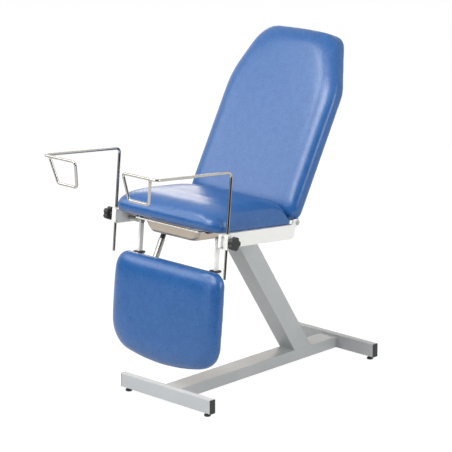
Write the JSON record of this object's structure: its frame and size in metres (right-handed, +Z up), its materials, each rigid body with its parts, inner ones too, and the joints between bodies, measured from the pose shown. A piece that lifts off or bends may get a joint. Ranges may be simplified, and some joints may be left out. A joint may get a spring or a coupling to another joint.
{
  "type": "gynecological chair",
  "caption": "Examination chair with a reclining back, a hanging leg rest that lifts, calf stirrups on clamped posts and a pull-out basin on a leaning column.",
  "frame": {"origin": "on the floor, below the middle of the chair's length and width", "axes": "+X to the patient's left, +Y towards the head, +Z up"},
  "size_m": [0.738, 1.422, 1.4685],
  "materials": {
    "blue_vinyl": "smooth blue vinyl-coated upholstery fabric",
    "grey_paint": "silver-grey powder coat",
    "white_paint": "white powder coat",
    "chrome": "bright chrome",
    "stainless": "satin stainless steel",
    "strut_steel": "bright zinc plate",
    "black_plastic": "black moulded plastic",
    "nylon": "natural nylon",
    "plywood": "birch plywood"
  },
  "bodies": {
    "base": {"front_crossbar": "grey_paint", "rear_crossbar": "grey_paint", "centre_beam": "grey_paint", "crossbar_end_caps": "black_plastic", "foot_bushes": "strut_steel", "column": "grey_paint", "column_head_plate": "grey_paint", "cross_member_front": "white_paint", "cross_member_rear": "white_paint", "left_rail": "white_paint", "right_rail": "white_paint", "seat_board": "plywood", "seat_pad": "blue_vinyl", "back_hinge_pins": "strut_steel", "leg_pivot_stubs": "strut_steel", "leg_strut_bracket": "white_paint", "column_lug": "grey_paint", "back_spring_lower_pin": "strut_steel", "left_clamp_block": "white_paint", "right_clamp_block": "white_paint", "clamp_screws": "strut_steel", "basin_guides": "black_plastic"},
    "backrest": {"backrest_pad": "blue_vinyl", "backrest_board": "plywood", "backrest_uprights": "white_paint", "backrest_cross_tubes": "white_paint", "left_backrest_bracket": "white_paint", "right_backrest_bracket": "white_paint", "backrest_lug": "white_paint"},
    "back_spring_cylinder": {"back_spring_cylinder": "strut_steel", "back_spring_guide": "black_plastic"},
    "back_spring_rod": {"back_spring_rod": "chrome", "back_spring_rod_end": "black_plastic", "back_spring_upper_pin": "strut_steel"},
    "legrest": {"legrest_pad": "blue_vinyl", "legrest_board": "plywood", "left_legrest_arm": "white_paint", "right_legrest_arm": "white_paint", "legrest_tubes": "white_paint", "legrest_cross_tubes": "white_paint", "legrest_tube_caps": "black_plastic", "leg_strut_lug": "white_paint", "leg_strut_lower_pin": "strut_steel"},
    "leg_strut_cylinder": {"leg_strut_cylinder": "strut_steel", "leg_strut_guide": "black_plastic"},
    "leg_strut_rod": {"leg_strut_rod": "chrome", "leg_strut_rod_end": "black_plastic", "leg_strut_upper_pin": "strut_steel"},
    "basin": {"basin": "stainless", "basin_carrier": "stainless"},
    "left_sleeve": {"left_clamp_sleeve": "nylon"},
    "left_stirrup": {"left_stirrup": "chrome"},
    "left_knob": {"left_knob": "black_plastic"},
    "right_sleeve": {"right_clamp_sleeve": "nylon"},
    "right_stirrup": {"right_stirrup": "chrome"},
    "right_knob": {"right_knob": "black_plastic"},
    "front_left_foot": {"front_left_foot": "black_plastic"},
    "front_right_foot": {"front_right_foot": "black_plastic"},
    "rear_left_foot": {"rear_left_foot": "black_plastic"},
    "rear_right_foot": {"rear_right_foot": "black_plastic"}
  },
  "joints": [
    {"name": "backrest_recline", "type": "hinge", "parent": "base", "child": "backrest", "pos_m": [0, 0.12467, 0.74117], "axis": [-1, 0, 0], "range_deg": [0, 61]},
    {"name": "back_spring_swing", "type": "hinge", "parent": "base", "child": "back_spring_cylinder", "pos_m": [-0.067, 0.226, 0.44], "axis": [-1, 0, 0], "range_deg": [-8, 0.5]},
    {"name": "back_spring_stroke", "type": "slide", "parent": "back_spring_cylinder", "child": "back_spring_rod", "axis": [0, -0.0901, 0.9959], "range_m": [-0.066, 0.001]},
    {"name": "legrest_raise", "type": "hinge", "parent": "base", "child": "legrest", "pos_m": [0, -0.25873, 0.72886], "axis": [-1, 0, 0], "range_deg": [0, 76]},
    {"name": "leg_strut_swing", "type": "hinge", "parent": "legrest", "child": "leg_strut_cylinder", "pos_m": [-0.154, -0.2601, 0.54615], "axis": [-1, 0, 0], "range_deg": [-15, 0.5]},
    {"name": "leg_strut_stroke", "type": "slide", "parent": "leg_strut_cylinder", "child": "leg_strut_rod", "axis": [0, 0.4586, 0.8887], "range_m": [-0.001, 0.0885]},
    {"name": "basin_pull", "type": "slide", "parent": "base", "child": "basin", "axis": [0, 0.9954, -0.0958], "range_m": [-0.12, 0]},
    {"name": "left_stirrup_swivel", "type": "hinge", "parent": "base", "child": "left_sleeve", "pos_m": [0.3184, -0.309, 0.7759], "axis": [0, 0.0958, 0.9954], "range_deg": [-15, 75]},
    {"name": "left_stirrup_height", "type": "slide", "parent": "left_sleeve", "child": "left_stirrup", "axis": [0, 0.0958, 0.9954], "range_m": [-0.1, 0.1]},
    {"name": "left_knob_turn", "type": "hinge", "parent": "base", "child": "left_knob", "pos_m": [0.347, -0.31188, 0.74604], "axis": [1, 0, 0], "range_deg": [-180, 180]},
    {"name": "right_stirrup_swivel", "type": "hinge", "parent": "base", "child": "right_sleeve", "pos_m": [-0.3184, -0.309, 0.7759], "axis": [0, 0.0958, 0.9954], "range_deg": [-75, 15]},
    {"name": "right_stirrup_height", "type": "slide", "parent": "right_sleeve", "child": "right_stirrup", "axis": [0, 0.0958, 0.9954], "range_m": [-0.1, 0.1]},
    {"name": "right_knob_turn", "type": "hinge", "parent": "base", "child": "right_knob", "pos_m": [-0.347, -0.31188, 0.74604], "axis": [1, 0, 0], "range_deg": [-180, 180]},
    {"name": "front_left_foot_turn", "type": "hinge", "parent": "base", "child": "front_left_foot", "pos_m": [0.23, -0.334, 0], "axis": [0, 0, 1], "continuous": true},
    {"name": "front_right_foot_turn", "type": "hinge", "parent": "base", "child": "front_right_foot", "pos_m": [-0.23, -0.334, 0], "axis": [0, 0, 1], "continuous": true},
    {"name": "rear_left_foot_turn", "type": "hinge", "parent": "base", "child": "rear_left_foot", "pos_m": [0.23, 0.696, 0], "axis": [0, 0, 1], "continuous": true},
    {"name": "rear_right_foot_turn", "type": "hinge", "parent": "base", "child": "rear_right_foot", "pos_m": [-0.23, 0.696, 0], "axis": [0, 0, 1], "continuous": true}
  ],
  "couplings": [
    {"joint": "back_spring_swing", "follows": "backrest_recline", "ratio": -0.12412},
    {"joint": "back_spring_stroke", "follows": "backrest_recline", "m_per_rad": -0.061421},
    {"joint": "leg_strut_swing", "follows": "legrest_raise", "ratio": -0.1927},
    {"joint": "leg_strut_stroke", "follows": "legrest_raise", "m_per_rad": 0.065971}
  ]
}
